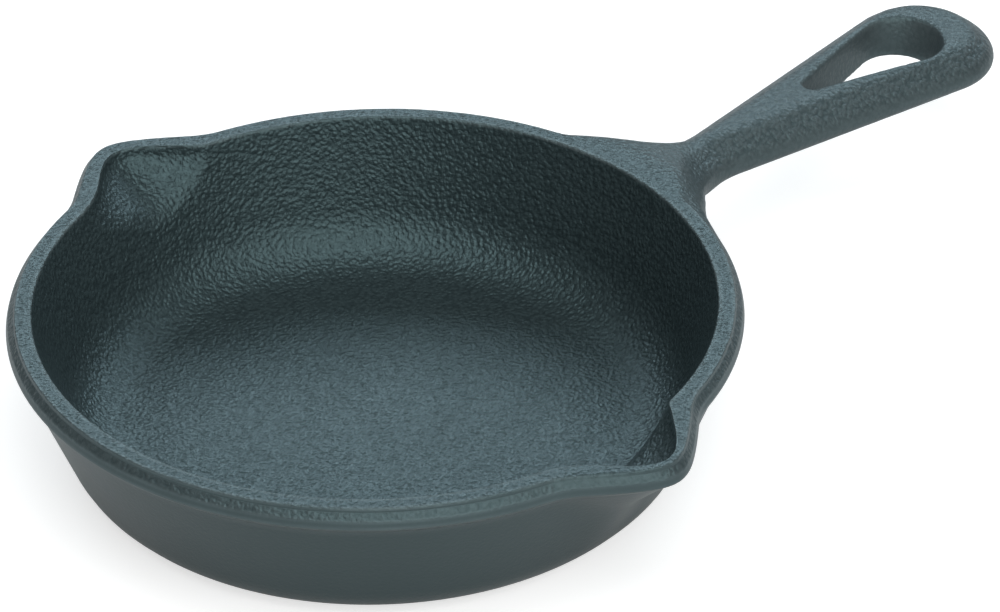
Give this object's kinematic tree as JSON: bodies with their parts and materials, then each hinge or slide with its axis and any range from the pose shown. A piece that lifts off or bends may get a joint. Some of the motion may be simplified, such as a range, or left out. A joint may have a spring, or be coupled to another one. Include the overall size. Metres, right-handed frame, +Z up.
{
  "type": "skillet",
  "caption": "Small round cast iron skillet with flared sides, a banded rim, opposed pouring spouts and a level handle with a teardrop hanging hole.",
  "frame": {"origin": "centre of the flat base, where the bowl's axis meets the surface it stands on", "axes": "+Z up along the bowl's axis, +X along the handle, spouts at +Y and -Y"},
  "size_m": [0.2817, 0.1868, 0.0366],
  "materials": {
    "cast_iron": "as cast, lightly oiled, satin"
  },
  "bodies": {
    "root": {"skillet_casting": "cast_iron"}
  },
  "joints": []
}
